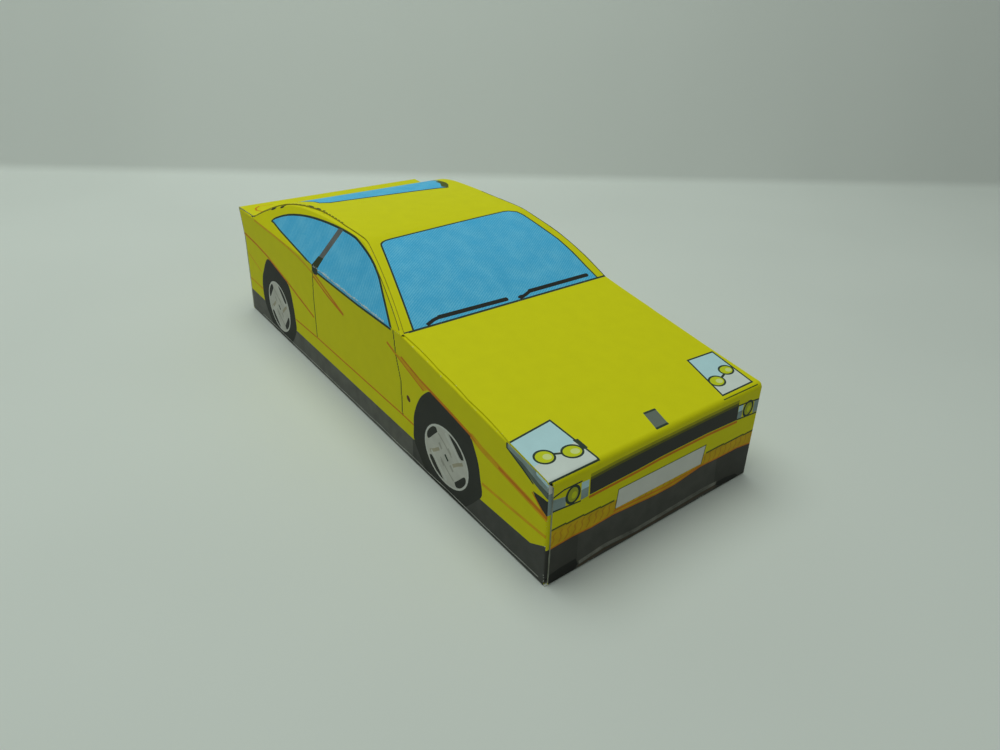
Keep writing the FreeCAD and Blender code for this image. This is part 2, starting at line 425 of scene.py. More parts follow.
def card_sheet(
    name, node, outline, folds, lay, ground, shapes=(), guides=(), cut_face=None
):
    # One panel of card: its printed face, its plain back one thickness in, and its edges.
    # lay gives, for a point on the cutting sheet, its place on the model and the sheet's directions there.
    # Panels that meet in a fold overlap by a hair, so that no light falls through the seam.
    boundary = inset_outline(outline, [f["start"] - seam_overlap if f else 0.0 for f in folds])
    boundary = cut_by_hand(boundary, folds)
    corners, faces, shown = split_by_print(boundary, [*guides, *fold_guides(outline, folds)], shapes)
    depth, leaning, outward, wear = bend_and_wear(corners, [tuple(p) for p in outline], folds)
    places, normals = two_faces(corners, lay, depth, leaning, outward)
    place, along, across, normal = lay(*corners[0])
    if along.cross(across).dot(normal) < 0:
        faces = faces[:, ::-1]
    front = [tuple(f) for f in faces.tolist()]
    rim = outer_rim(front)
    polygons, loop_normals, loop_sheet = closed_sheet(front, rim, corners, places, normals)

    # The ground's ink, the bare back and the cut edge come first. A folded edge is inked as the ground.
    materials = [ground, white_card, cut_face or shaded_card_edge]
    for material, loop in shapes:
        if material not in materials:
            materials.append(material)
    ink_numbers = [materials.index(material) for material, loop in shapes]
    slots = [ink_numbers[number] if number >= 0 else GROUND for number in shown]
    slots += [BACK] * len(front)
    slots += [GROUND if leaning[a] > 0 and leaning[b] > 0 else EDGE for a, b in rim]

    mesh = bpy.data.meshes.new(name)
    mesh.from_pydata([p * MM for p in places], [], polygons)
    mesh.shade_smooth()
    for material in materials:
        mesh.materials.append(material)
    mesh.polygons.foreach_set("material_index", slots)
    mesh.uv_layers.new(name="sheet").data.foreach_set("uv", loop_sheet)
    mesh.attributes.new("wear", "FLOAT", "POINT").data.foreach_set("value", [*wear, *np.zeros(len(wear))])
    mesh.normals_split_custom_set(loop_normals)
    piece = bpy.data.objects.new(name, mesh)
    scene.collection.objects.link(piece)
    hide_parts(node)
    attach(piece, "root")


def flat_lay(origin, along, across, normal):
    # A flat panel: its origin, its directions for one millimetre on the drawing, and its outward normal
    along_unit = along.normalized()
    across_unit = across.normalized()

    def lay(u, v):
        return origin + along * u + across * v, along_unit, across_unit, normal

    return lay


def new_group(name, inputs, outputs):
    # A group of shader nodes that several materials share, with its named sockets
    group = bpy.data.node_groups.new(name, "ShaderNodeTree")
    for label, kind, value in inputs:
        socket = group.interface.new_socket(label, in_out="INPUT", socket_type=kind)
        socket.default_value = value
    for label, kind in outputs:
        group.interface.new_socket(label, in_out="OUTPUT", socket_type=kind)
    return group, add_node(group, "NodeGroupInput").outputs, add_node(group, "NodeGroupOutput").inputs


def use_group(tree, group, **inputs):
    # Puts the group into a material, with a plain value or another node's output on each input
    member = add_node(tree, "ShaderNodeGroup", node_tree=group)
    for label, value in inputs.items():
        if isinstance(value, bpy.types.NodeSocket):
            tree.links.new(value, member.inputs[label])
        else:
            member.inputs[label].default_value = value
    return member.outputs


def sheet_place(tree, turn=0.0, stretch=1.0):
    # The place on the cutting sheet in millimetres, turned and stretched for a pattern with a direction
    sheet = add_node(tree, "ShaderNodeUVMap", uv_map="sheet").outputs[0]
    if turn == 0 and stretch == 1:
        return sheet
    mapping = add_node(tree, "ShaderNodeMapping", vector_type="TEXTURE")
    mapping.inputs["Rotation"].default_value = (0, 0, turn)
    mapping.inputs["Scale"].default_value = (stretch, 1, 1)
    tree.links.new(sheet, mapping.inputs["Vector"])
    return mapping.outputs[0]


def sheet_noise(tree, size, turn=0.0, stretch=1.0, detail=2.0):
    # A noise that lies on the sheet, drawn out into hairs where it is stretched
    return add_noise(tree, sheet_place(tree, turn, stretch), size, detail)


def unevenness(tree, size, reach):
    # A noise on the sheet that swings between -reach and reach
    return add_range(tree, sheet_noise(tree, size), 0.2, 0.8, -reach, reach)


# Paper fibre: short hairs that lie both ways across the sheet, as a height and as a tone
paper_fibre, given, result = new_group(
    "paper_fibre", [], [("Height", "NodeSocketFloat"), ("Tone", "NodeSocketFloat")]
)
hairs = sheet_noise(paper_fibre, size=0.11, turn=0.5, stretch=5.0)
cross_hairs = sheet_noise(paper_fibre, size=0.10, turn=-0.7, stretch=5.0)
fibre_height = add_math(paper_fibre, "MAXIMUM", hairs, cross_hairs)
fibre_clouds = sheet_noise(paper_fibre, size=1.8)
half_height = add_math(paper_fibre, "MULTIPLY", fibre_height, 0.5)
half_clouds = add_math(paper_fibre, "MULTIPLY", fibre_clouds, 0.5)
paper_fibre.links.new(fibre_height, result["Height"])
paper_fibre.links.new(add_math(paper_fibre, "ADD", half_height, half_clouds), result["Tone"])

# Print grain: the fine dots and the slow unevenness of ink laid down by an office printer
print_grain, given, result = new_group(
    "print_grain",
    [
        ("Colour", "NodeSocketColor", (1, 1, 1, 1)),
        ("Speckle", "NodeSocketFloat", 0.05),
        ("Mottle", "NodeSocketFloat", 0.03),
    ],
    [("Colour", "NodeSocketColor")],
)
parts = []
for size, amount in ((0.1, "Speckle"), (2.5, "Mottle")):
    grain = unevenness(print_grain, size, reach=1.0)
    parts.append(add_math(print_grain, "MULTIPLY", grain, given[amount]))
strength = add_math(print_grain, "ADD", add_math(print_grain, "ADD", *parts), 1.0)
tone = add_node(print_grain, "ShaderNodeHueSaturation")
print_grain.links.new(given["Colour"], tone.inputs["Color"])
print_grain.links.new(strength, tone.inputs["Value"])
print_grain.links.new(tone.outputs[0], result["Colour"])

# Fold wear: cracked ink along folds and cut edges, where the mesh says that the sheet is worn
fold_wear, given, result = new_group(
    "fold_wear", [("Amount", "NodeSocketFloat", 1.0)], [("Mask", "NodeSocketFloat")]
)
worn = add_node(fold_wear, "ShaderNodeAttribute", attribute_name="wear").outputs["Fac"]
flakes = unevenness(fold_wear, size=0.22, reach=0.5)
patches = unevenness(fold_wear, size=3.0, reach=0.4)
near_fold = add_range(fold_wear, worn, 0.0, 0.25)
uneven = add_math(fold_wear, "MULTIPLY", add_math(fold_wear, "ADD", flakes, patches), near_fold)
total = add_math(fold_wear, "ADD", add_math(fold_wear, "MULTIPLY", worn, given["Amount"]), uneven)
bare_from = 0.66
bare_to = 0.82
fold_wear.links.new(add_range(fold_wear, total, bare_from, bare_to), result["Mask"])

card_white = (0.74, 0.75, 0.72)
card_tone = (0.64, 0.65, 0.62)
relief_depth = 0.03


def add_relief(tree, height, shader, strength):
    # Roughens the surface by this height map
    relief = add_node(tree, "ShaderNodeBump")
    relief.inputs["Strength"].default_value = strength
    relief.inputs["Distance"].default_value = relief_depth * MM
    tree.links.new(height, relief.inputs["Height"])
    tree.links.new(relief.outputs[0], shader.inputs["Normal"])


def plain_card(name, light, dark, bump):
    # Bare card, as on the back of a panel, and along its cut edges a much darker grey that is painted shade
    material, shader = new_surface(name, roughness=0.85)
    tree = material.node_tree
    fibre = use_group(tree, paper_fibre)
    colour = add_mix(tree, add_range(tree, fibre["Tone"], 0.4, 0.7), light, dark)
    tree.links.new(colour, shader.inputs["Base Color"])
    add_relief(tree, fibre["Height"], shader, bump)
    return material


white_card = plain_card("white_card", card_white, card_tone, bump=0.3)
# The cut edges are painted dark grey, as the shade along them
shaded_card_edge = plain_card("shaded_card_edge", (0.42, 0.43, 0.36), (0.24, 0.25, 0.20), bump=0.8)


def body_outline():
    # The folded sheet seen from the side, as (y, z) points from the front bottom edge up and over
    base_low, base_high = millimetres("base_panel")
    bonnet_low, bonnet_high = millimetres("bonnet_panel")
    boot_low, boot_high = millimetres("boot_panel")
    spoiler_low = millimetres("spoiler_panel")[0]
    nose_top = millimetres("front_panel")[1].z
    cowl_y = millimetres("roof_strip")[0].y
    return [
        (base_low.y, 0.0),
        (bonnet_low.y, nose_top),
        (cowl_y, bonnet_high.z),
        (boot_low.y, boot_high.z),
        (boot_high.y, boot_high.z),
        (spoiler_low.y + card, spoiler_low.z),
        (base_high.y, 0.0),
    ]


FRONT, BONNET, ROOF, BOOT, SPOILER, TAIL, BASE = range(7)
body = body_outline()
half_width = millimetres("base_panel")[1].x


def rise(edge):
    # An edge's direction seen from the side, for one millimetre along the car
    (y0, z0), (y1, z1) = body[edge], body[(edge + 1) % len(body)]
    return (z1 - z0) / (y1 - y0)


def edge_angle(edge):
    # An edge's angle from level, seen from the side
    (y0, z0), (y1, z1) = body[edge], body[(edge + 1) % len(body)]
    return math.atan2(z1 - z0, y1 - y0)


def turn_between(edge, next_edge):
    # How far the sheet bends down from one edge to the next
    turned = edge_angle(edge) - edge_angle(next_edge)
    return (turned + math.pi) % math.tau - math.pi


def outward_normal(edge):
    angle = edge_angle(edge)
    return Vector((0, -math.sin(angle), math.cos(angle)))


side_fold = fold(math.pi / 2, wear=0.2)
front_foot_fold = fold(turn_between(BASE, FRONT), wear=0.5)
tail_foot_fold = fold(turn_between(TAIL, BASE), wear=1.0)
card_sheet(
    "base_card",
    "base_panel",
    outline=box(-half_width, half_width, body[FRONT][0], body[BASE][0]),
    folds=[front_foot_fold, side_fold, tail_foot_fold, side_fold],
    lay=flat_lay(Vector((0, 0, 0)), Vector((1, 0, 0)), Vector((0, 1, 0)), Vector((0, 0, -1))),
    ground=white_card,
)


# Side panels
# The upright lower sides carry the printed doors, wheels and sill, with orange-red lines drawn over them.
# They are folded up from the base and on into the leaning cabin sides.
def ink(name, colour, speckle=0.05, mottle=0.03, wear=0.8, streaks=None):
    # Printer's ink on the card, cracked down to white paper where the sheet is folded or cut
    material, shader = new_surface(name + "_ink", roughness=0.65)
    tree = material.node_tree
    if streaks:
        base = use_group(tree, diagonal_streaks, Colour=(*colour, 1), Streak=(*streaks, 1))["Colour"]
    else:
        base = (*colour, 1)
    grained = use_group(tree, print_grain, Colour=base, Speckle=speckle, Mottle=mottle)["Colour"]
    mask = use_group(tree, fold_wear, Amount=wear)["Mask"]
    tree.links.new(add_mix(tree, mask, grained, card_white), shader.inputs["Base Color"])
    fibre = use_group(tree, paper_fibre)["Height"]
    add_relief(tree, add_math(tree, "ADD", fibre, mask), shader, 0.3)
    return material


# Diagonal streaks: the fine slanted hatch that runs through the printed glass, with pale flecks in it
diagonal_streaks, given, result = new_group(
    "diagonal_streaks",
    [("Colour", "NodeSocketColor", (1, 1, 1, 1)), ("Streak", "NodeSocketColor", (1, 1, 1, 1))],
    [("Colour", "NodeSocketColor")],
)
hatch_pitch = 0.362
hatch_turn = math.radians(33)
hatch_strength = 0.34
pale_from = 0.72
pale_to = 1.5
hatch_waves = Vector((math.sin(hatch_turn), -math.cos(hatch_turn), 0)) * math.tau / hatch_pitch
across_hatch = add_node(diagonal_streaks, "ShaderNodeVectorMath", operation="DOT_PRODUCT")
diagonal_streaks.links.new(sheet_place(diagonal_streaks), across_hatch.inputs[0])
across_hatch.inputs[1].default_value = hatch_waves
hatch_wave = add_math(diagonal_streaks, "SINE", across_hatch.outputs["Value"])
hatch = add_range(diagonal_streaks, hatch_wave, -1, 1, -hatch_strength, hatch_strength)
streak_lines = sheet_noise(diagonal_streaks, size=0.16, turn=hatch_turn, stretch=3.0)
streak_clouds = sheet_noise(diagonal_streaks, size=3.0, detail=4.0)
lines_and_clouds = add_math(diagonal_streaks, "ADD", streak_lines, streak_clouds)
all_streaks = add_math(diagonal_streaks, "ADD", lines_and_clouds, hatch)
streak_share = add_range(diagonal_streaks, all_streaks, pale_from, pale_to)
streaked = add_mix(diagonal_streaks, streak_share, given["Colour"], given["Streak"])
diagonal_streaks.links.new(streaked, result["Colour"])

yellow = ink("yellow", (0.735, 0.685, 0.006), speckle=0.04, mottle=0.02, wear=0.62)
sill_grey = ink("sill_grey", (0.14, 0.14, 0.13), speckle=0.12, mottle=0.15, wear=1.0)
sill_dark = ink("sill_dark", (0.085, 0.085, 0.08), speckle=0.12, mottle=0.12, wear=1.0)
tyre_black = ink("tyre_black", (0.045, 0.047, 0.042), speckle=0.10, mottle=0.06)
rim_grey = ink("rim_grey", (0.58, 0.57, 0.53), speckle=0.06, mottle=0.10)
rim_light = ink("rim_light", (0.64, 0.64, 0.61), speckle=0.05)
rim_shade = ink("rim_shade", (0.40, 0.39, 0.35), speckle=0.08, mottle=0.10)
rim_tan = ink("rim_tan", (0.42, 0.38, 0.29), speckle=0.08, mottle=0.10)
orange = ink("orange", (0.66, 0.21, 0.012), speckle=0.10, mottle=0.08, wear=0.5)
faint_orange = ink("faint_orange", (0.74, 0.42, 0.012), speckle=0.10, mottle=0.08, wear=0.5)
door_line = ink("door_line", (0.10, 0.12, 0.02), speckle=0.15)
outline_dark = ink("outline", (0.04, 0.06, 0.045), speckle=0.15, mottle=0.10)
glass_blue = ink(
    "glass_blue", (0.070, 0.46, 0.83), speckle=0.06, mottle=0.02, wear=1.0, streaks=(0.17, 0.59, 0.91)
)
lamp_pale = ink("lamp_pale", (0.52, 0.74, 0.82), speckle=0.04)
lamp_shade = ink("lamp_shade", (0.28, 0.36, 0.36), speckle=0.10, mottle=0.15)
lamp_dark = ink("lamp_dark", (0.12, 0.15, 0.13), speckle=0.12, mottle=0.15)
dark_red = ink("dark_red", (0.13, 0.05, 0.03))

dot = 0.15
line_dots = 2
oval_corners = 36
curve_steps = 3


def curve_through(points):
    # A smooth line through these points: each stretch leaves its ends in line with their neighbours
    curve = []
    ends = [points[0], *points, points[-1]]
    for near in zip(ends, ends[1:], ends[2:], ends[3:]):
        for i in range(curve_steps):
            t = i / curve_steps
            weights = (
                -t + 2 * t * t - t ** 3,
                2 - 5 * t * t + 3 * t ** 3,
                t + 4 * t * t - 3 * t ** 3,
                -t * t + t ** 3,
            )
            curve.append(tuple(0.5 * sum(w * p[axis] for w, p in zip(weights, near)) for axis in (0, 1)))
    return curve + [tuple(points[-1])]


def stepped_line(material, points):
    # A printed line as a coarse bitmap draws it: rows of square dots, one rectangle for each unbroken run
    shapes = []
    for ends in zip(points, points[1:]):
        p, q = [(x / dot, y / dot) for x, y in ends]
        steep = abs(q[1] - p[1]) > abs(q[0] - p[0])
        if steep:
            p, q = p[::-1], q[::-1]
        if q[0] < p[0]:
            p, q = q, p
        slope = (q[1] - p[1]) / (q[0] - p[0])
        first = math.floor(p[0])
        rows = []
        for column in range(first, math.floor(q[0]) + 1):
            middle = min(max(column + 0.5, p[0]), q[0])
            rows.append(math.floor(p[1] + (middle - p[0]) * slope - (line_dots - 1) / 2))
        start = 0
        for i in range(1, len(rows) + 1):
            if i == len(rows) or rows[i] != rows[start]:
                run = box(first + start, first + i, rows[start], rows[start] + line_dots)
                if steep:
                    run = [(y, x) for x, y in run]
                shapes.append((material, [(x * dot, y * dot) for x, y in run]))
                start = i
    return shapes


def stroke(material, points, width):
    # A smooth line of this width, one piece for each straight run
    shapes = []
    for p, q in zip(points, points[1:]):
        p = Vector(p)
        q = Vector(q)
        along = (q - p).normalized() * width / 2
        side = Vector((-along.y, along.x))
        begin = p - along * 0.5
        end = q + along * 0.5
        shapes.append((material, [tuple(c) for c in (begin - side, end - side, end + side, begin + side)]))
    return shapes


def oval(material, centre, half_wide, half_high, turn=0.0):
    cosine = math.cos(turn)
    sine = math.sin(turn)
    loop = []
    for i in range(oval_corners):
        x = half_wide * math.cos(math.tau * i / oval_corners)
        y = half_high * math.sin(math.tau * i / oval_corners)
        loop.append((centre[0] + x * cosine - y * sine, centre[1] + x * sine + y * cosine))
    return [(material, loop)]


def area(material, points):
    # Every printed shape is an ink and a closed outline, and a print is a list of them
    return [(material, points)]


def moved(points, centre, flip=1):
    # Points drawn about this centre, and turned half way round it where flip is -1
    return [(centre[0] + x * flip, centre[1] + y * flip) for x, y in points]


def printed_wheel(centre, wide=1.0, high=1.0):
    # A light rim with two large and two slim openings, and the shades of a slanted spoke between them.
    # Both numbers stretch it, as the rear wheel is printed a little narrower.
    wide_opening = [
        (2.3, 3.2), (3.3, 2.15), (4.6, 0.75), (5.1, 0.8), (5.1, 1.6), (4.5, 2.6), (3.6, 3.5), (2.7, 3.8),
    ]
    slim_opening = [
        (-0.6, 4.55), (-1.4, 4.5), (-2.6, 4.1), (-3.6, 3.45), (-4.3, 2.7),
        (-4.5, 2.2), (-3.9, 1.9), (-3.4, 2.1), (-2.45, 2.95), (-1.4, 3.8),
    ]
    shapes = oval(rim_light, centre, 5.8, 5.0)
    shapes += oval(rim_grey, centre, 5.45, 4.7)
    for flip in (1, -1):
        shapes += area(tyre_black, moved(curve_through(wide_opening + wide_opening[:1]), centre, flip))
        shapes += area(tyre_black, moved(slim_opening, centre, flip))
        for shade, points, width in (
            (rim_shade, [(2.0, 3.1), (0.4, 2.2), (-1.4, 0.9)], 0.3),
            (rim_tan, [(4.2, -1.3), (3.0, -0.5), (1.9, 0.4)], 0.55),
            (rim_shade, [(1.8, 1.45), (1.2, 0.9)], 0.5),
            (rim_shade, [(-1.2, 1.3), (-0.6, 1.8)], 0.45),
            (rim_light, [(0.1, 4.2), (-1.6, 2.9), (-3.9, 1.1)], 0.5),
        ):
            shapes += stroke(shade, moved(points, centre, flip), width)
    hub_mark = [(0.45, 0.2), (0.1, 0.5), (-0.75, -0.25), (-0.4, -0.55)]
    shapes += area(outline_dark, moved(hub_mark, centre))
    u, v = centre
    stretched = []
    for material, loop in shapes:
        stretched.append((material, [(u + (x - u) * wide, v + (y - v) * high) for x, y in loop]))
    return stretched


# Seen from the side, the side panels end one thickness inside the top sheet and stand on the base's edge
side_points = [tuple(p) for p in inset_outline(body, [card] * BASE + [0.0])]
lean = math.radians(32.0)
tab_fold = fold(math.pi / 2, wear=0.35)

# The fold under the cabin is cracked white over the door, and nearly whole at both ends
cracked_from = -9.6
cracked_to = 15.0
(hinge_y, hinge_z), (hinge_end_y, hinge_end_z) = side_points[ROOF], side_points[BOOT]
hinge_slope = (hinge_end_z - hinge_z) / (hinge_end_y - hinge_y)
hinge_breaks = [(y, hinge_z + hinge_slope * (y - hinge_y)) for y in (cracked_from, cracked_to)]
hinge_folds = [fold(lean, wear=amount) for amount in (0.3, 0.85, 0.15)]
side_outline = side_points[:BOOT] + hinge_breaks + side_points[BOOT:]
side_folds = [tab_fold, tab_fold] + hinge_folds + [tab_fold, CUT, tab_fold, side_fold]

front_wheel = (-27.1, 6.7)
rear_wheel = (33.8, 6.6)
front_arch = [
    (-22.6, -0.3), (-21.2, 0.9), (-19.5, 2.7), (-18.1, 4.8), (-18.1, 7.0), (-18.2, 9.1), (-19.0, 11.4),
    (-20.1, 13.4), (-21.6, 15.0), (-23.2, 15.9), (-26.7, 15.3), (-30.1, 14.8), (-32.8, 14.2), (-34.0, 12.7),
    (-35.1, 10.6), (-35.7, 8.2), (-36.2, 5.7), (-34.9, 3.8), (-33.3, 1.9), (-31.8, 0.4), (-31.0, -0.3),
]
rear_arch = [
    (29.6, -0.3), (28.5, 0.9), (27.0, 2.7), (25.8, 4.9), (25.8, 6.6), (26.1, 9.3), (26.8, 12.4),
    (27.8, 13.9), (30.4, 14.7), (33.4, 15.3), (36.8, 15.9), (38.6, 14.6), (40.3, 12.2), (41.3, 10.6),
    (42.0, 8.0), (41.9, 5.3), (40.9, 3.4), (39.3, 1.6), (37.6, 0.1), (37.0, -0.3),
]

# The print runs on past the panel's ends and its foot
past_end = 51
past_foot = -1
sill_top = [
    (-past_end, 6.9), (-49.6, 6.7), (-46.9, 5.2), (-36.3, 4.8), (-17.7, 4.5),
    (25.5, 4.6), (42.4, 4.9), (past_end, 5.0),
]
side_print = area(sill_grey, [(-past_end, past_foot)] + sill_top + [(past_end, past_foot)])
side_print += area(sill_dark, [(-past_end, past_foot)] + sill_top[:5] + [(-17.7, past_foot)])
side_print += area(tyre_black, curve_through(front_arch)) + area(tyre_black, curve_through(rear_arch))
side_print += printed_wheel(front_wheel) + printed_wheel(rear_wheel, wide=0.9, high=1.06)
door_rear = [(15.5, 21.4), (16.0, 16.4), (16.0, 7.5)]
door_front = [(-12.6, 21.4), (-13.2, 17.5), (-14.5, 13.6), (-14.8, 7.3)]
side_print += stepped_line(door_line, door_rear) + stepped_line(door_line, door_front)

# The creases of the real car's side, drawn in two strengths of orange
for faint, width in (
    ([(42.0, 22.4), (33.0, 22.26), (27.0, 22.05), (21.9, 21.65), (18.5, 21.2), (15.9, 20.6)], 0.4),
    ([(48.2, 13.6), (41.6, 11.5)], 0.3),
    ([(49.3, 7.6), (42.1, 7.5)], 0.4),
    ([(-36.2, 7.8), (-43.0, 8.0), (-50.1, 8.3)], 0.5),
    ([(-33.4, 14.2), (-35.8, 13.5), (-39.9, 12.8), (-50.1, 11.1)], 1.0),
):
    side_print += stroke(faint_orange, faint, width)
rear_crease = [
    (48.8, 17.6), (42.4, 17.1), (37.8, 16.5), (34.5, 15.8), (27.6, 14.2), (23.9, 13.2), (16.8, 11.4),
]
for strong, width in (
    (rear_crease, 0.45),
    ([(15.0, 20.7), (9.2, 18.75), (4.3, 17.1)], 0.42),
    ([(15.3, 20.0), (10.0, 18.3), (4.3, 17.0)], 0.42),
    ([(-10.6, 18.5), (-14.6, 17.2), (-18.8, 15.9), (-21.0, 15.2)], 0.42),
    ([(25.5, 7.2), (16.2, 7.4), (-14.9, 7.4), (-18.0, 7.3)], 0.3),
    ([(-14.8, 17.8), (-20.0, 16.5), (-22.7, 16.1), (-28.7, 15.1), (-33.0, 14.3)], 0.48),
    ([(-33.0, 14.3), (-35.8, 13.5), (-39.9, 12.8), (-50.1, 11.2)], 0.5),
):
    side_print += stroke(orange, strong, width)
door_smudge = [
    (-12.0, 18.0), (-14.8, 17.7), (-20.0, 16.4), (-22.4, 15.95), (-21.2, 15.2), (-18.8, 15.9), (-14.6, 17.2),
]
arch_smudge = [(-33.2, 14.4), (-36.0, 13.8), (-39.5, 13.0), (-39.5, 12.6), (-35.5, 13.1)]
side_print += area(faint_orange, door_smudge) + area(faint_orange, arch_smudge)
side_print += oval(dark_red, (-16.7, 11.4), 0.6, 0.45, turn=0.7)

# The windows run a little below the fold under the cabin
window_foot = [
    (14.2, 23.0), (14.0, 21.3), (7.3, 21.2), (-1.5, 21.1), (-6.4, 21.2), (-11.8, 21.3), (-12.4, 23.0),
]
pillar_foot = [(15.7, 23.0), (15.6, 21.4), (15.2, 20.6), (13.7, 20.8), (13.0, 22.3), (13.3, 23.0)]
side_print += area(glass_blue, window_foot)
side_print += stroke(outline_dark, window_foot[1:6], 0.4)
side_print += area(outline_dark, pillar_foot)

# The headlight wraps round the bonnet's edge, over the black corner of the grille
lamp_foot = [(-41.0, 17.0), (-44.4, 15.7), (-46.9, 14.9), (-49.3, 14.2), (-past_end, 14.1)]
grille_corner = [
    (-46.6, 13.7), (-48.6, 13.9), (-past_end, 13.9), (-past_end, 10.9), (-49.4, 11.6), (-47.4, 12.6),
]
side_print += area(lamp_shade, [(-40.8, 18.4)] + lamp_foot + [(-past_end, 18.0)])
side_print += area(lamp_dark, lamp_foot + [(-past_end, 15.0), (-47.6, 15.5), (-44.2, 16.6)])
side_print += area(lamp_pale, [(-46.4, 17.6), (-47.0, 16.5), (-past_end, 15.6), (-past_end, 18.0)])
side_print += stroke(outline_dark, [(-40.9, 18.2)] + lamp_foot[:2] + [(-46.5, 14.8)], 0.28)
side_print += area(tyre_black, grille_corner)
side_print += stroke(orange, [(-46.5, 13.4), (-49.2, 11.4), (-past_end, 10.7)], 0.22)

# Just over the fold to the base the ink has cracked in a thin pale line
crack_pale = ink("crack_pale", (0.55, 0.55, 0.52), speckle=0.50, mottle=0.40)
crack_height = 0.75
crack_wander = 0.2
crack_waviness = 0.2
crack_seed = 3.1
crack = []
for y in range(-49, 45, 3):
    wander = crack_wander * noise.noise(Vector((y * crack_waviness, crack_seed, 0.0)))
    crack.append((y, crack_height + wander))
side_print += stroke(crack_pale, crack, 0.12)

car_sides = ((-1, "right"), (1, "left"))
for side, word in car_sides:
    foot = Vector((side * half_width, 0, 0))
    card_sheet(
        "side_card_" + word,
        "side_panel_" + word,
        outline=side_outline,
        folds=side_folds,
        lay=flat_lay(foot, Vector((0, 1, 0)), Vector((0, 0, 1)), Vector((side, 0, 0))),
        ground=yellow,
        shapes=side_print,
    )


# Front panel
# The nose is printed with a black grille, small lamps, a blank number plate and a dark bumper.
# It is folded up from the base and glued at both ends over tabs that come round from the sides.
grille_black = ink("grille_black", (0.055, 0.055, 0.05), speckle=0.10)
bumper_grey = ink("bumper_grey", (0.088, 0.087, 0.078), speckle=0.08, mottle=0.12, wear=1.0)
bumper_dark = ink("bumper_dark", (0.068, 0.067, 0.06), speckle=0.10, mottle=0.10, wear=1.0)
foot_worn = ink("foot_worn", (0.19, 0.185, 0.165), speckle=0.60, mottle=0.40, wear=1.0)
foot_brown = ink("foot_brown", (0.10, 0.075, 0.05), speckle=0.15, mottle=0.15)
pen_black = ink("pen_black", (0.03, 0.03, 0.028), speckle=0.10)
# The grille's rim and haze are painted shade under the rounded nose fold
grille_rim_shade = ink("grille_rim_shade", (0.15, 0.145, 0.02), speckle=0.25, mottle=0.10)
grille_shade_haze = ink("grille_shade_haze", (0.40, 0.375, 0.012), speckle=0.15, mottle=0.10)
plate_white = ink("plate_white", (0.70, 0.70, 0.66), speckle=0.03)
band_orange = ink("band_orange", (0.66, 0.43, 0.012), speckle=0.08, mottle=0.10)
band_mark = ink("band_mark", (0.58, 0.30, 0.012), speckle=0.08, mottle=0.10)
lamp_yellow = ink("lamp_yellow", (0.62, 0.66, 0.02), speckle=0.04)
lamp_olive = ink("lamp_olive", (0.42, 0.45, 0.03), speckle=0.08)
lamp_glint = ink("lamp_glint", (0.72, 0.78, 0.30), speckle=0.04)

nose_fold = fold(turn_between(FRONT, BONNET), wear=0.0, radius=1.0)
front_near_edge = -20.65
front_far_edge = 21.2

# The band over the bumper, with the uneven zigzag that shades it
past_side = 22
front_print = area(
    band_orange,
    [(-past_side, 5.5), (-past_side, 9.4), (-9.5, 8.8), (9.85, 8.7), (past_side, 8.3), (past_side, 5.5)],
)
marks = 34
first_mark = -20.2
marks_length = 41.0
mark_reach = 0.35
mark_change = 0.3
mark_noise_step = 1.7
for i in range(marks):
    x = first_mark + marks_length * i / (marks - 1)
    reach = mark_reach + mark_change * noise.noise(Vector((i * mark_noise_step, 0, 0)))
    zigzag = [(x - reach, 6.8), (x + 0.1, 7.5), (x - 0.1, 8.2), (x + reach, 8.6)]
    front_print += stroke(band_mark, zigzag, 0.25)

bumper_top = [
    (-21.3, 6.3), (-16.8, 6.5), (-13.5, 6.3), (-9.2, 6.5), (-0.9, 5.9),
    (3.2, 5.9), (9.0, 6.7), (14.5, 6.5), (17.6, 6.5), (21.4, 6.0),
]
plate = [(-9.1, 7.3), (-8.8, 10.4), (9.4, 10.3), (8.9, 7.1)]
bumper_right = [(-past_side, past_foot), (-past_side, 6.3), (-15.8, 6.4), (-15.6, past_foot)]
bumper_left = [(past_side, past_foot), (past_side, 6.0), (12.8, 6.55), (13.5, past_foot)]
front_print += area(bumper_grey, [(-past_side, past_foot)] + bumper_top + [(past_side, past_foot)])
front_print += area(bumper_dark, bumper_right) + area(bumper_dark, bumper_left)
front_print += stroke(orange, bumper_top, 0.25)
front_print += area(plate_white, plate)
front_print += stroke(door_line, plate, 0.15)
front_print += stroke(orange, [(-9.3, 7.0), (1.1, 6.4), (9.0, 6.8)], 0.3)
for thin in ([(-20.6, 9.35), (-9.5, 8.8)], [(9.85, 8.75), (21.2, 8.4)]):
    front_print += stepped_line(door_line, thin)

grille_foot = [(-14.3, 12.05), (-5.4, 12.2), (-0.8, 12.4), (9.1, 12.4), (16.2, 12.1)]
grille_top = [(15.9, 14.75), (8.5, 14.8), (-1.3, 14.75), (-5.8, 14.7), (-10.1, 14.6), (-14.4, 14.4)]
front_print += stroke(orange, [(x, z - 0.35) for x, z in grille_foot], 0.42)
# Above the black, a dark band and a dull yellow one are painted shade under the rounded nose fold, and they
# soften the black's top edge
front_print += area(grille_shade_haze, grille_foot + [(x, z + 0.95) for x, z in grille_top])
front_print += area(grille_rim_shade, grille_foot + [(x, z + 0.45) for x, z in grille_top])
front_print += area(grille_black, grille_foot + grille_top)

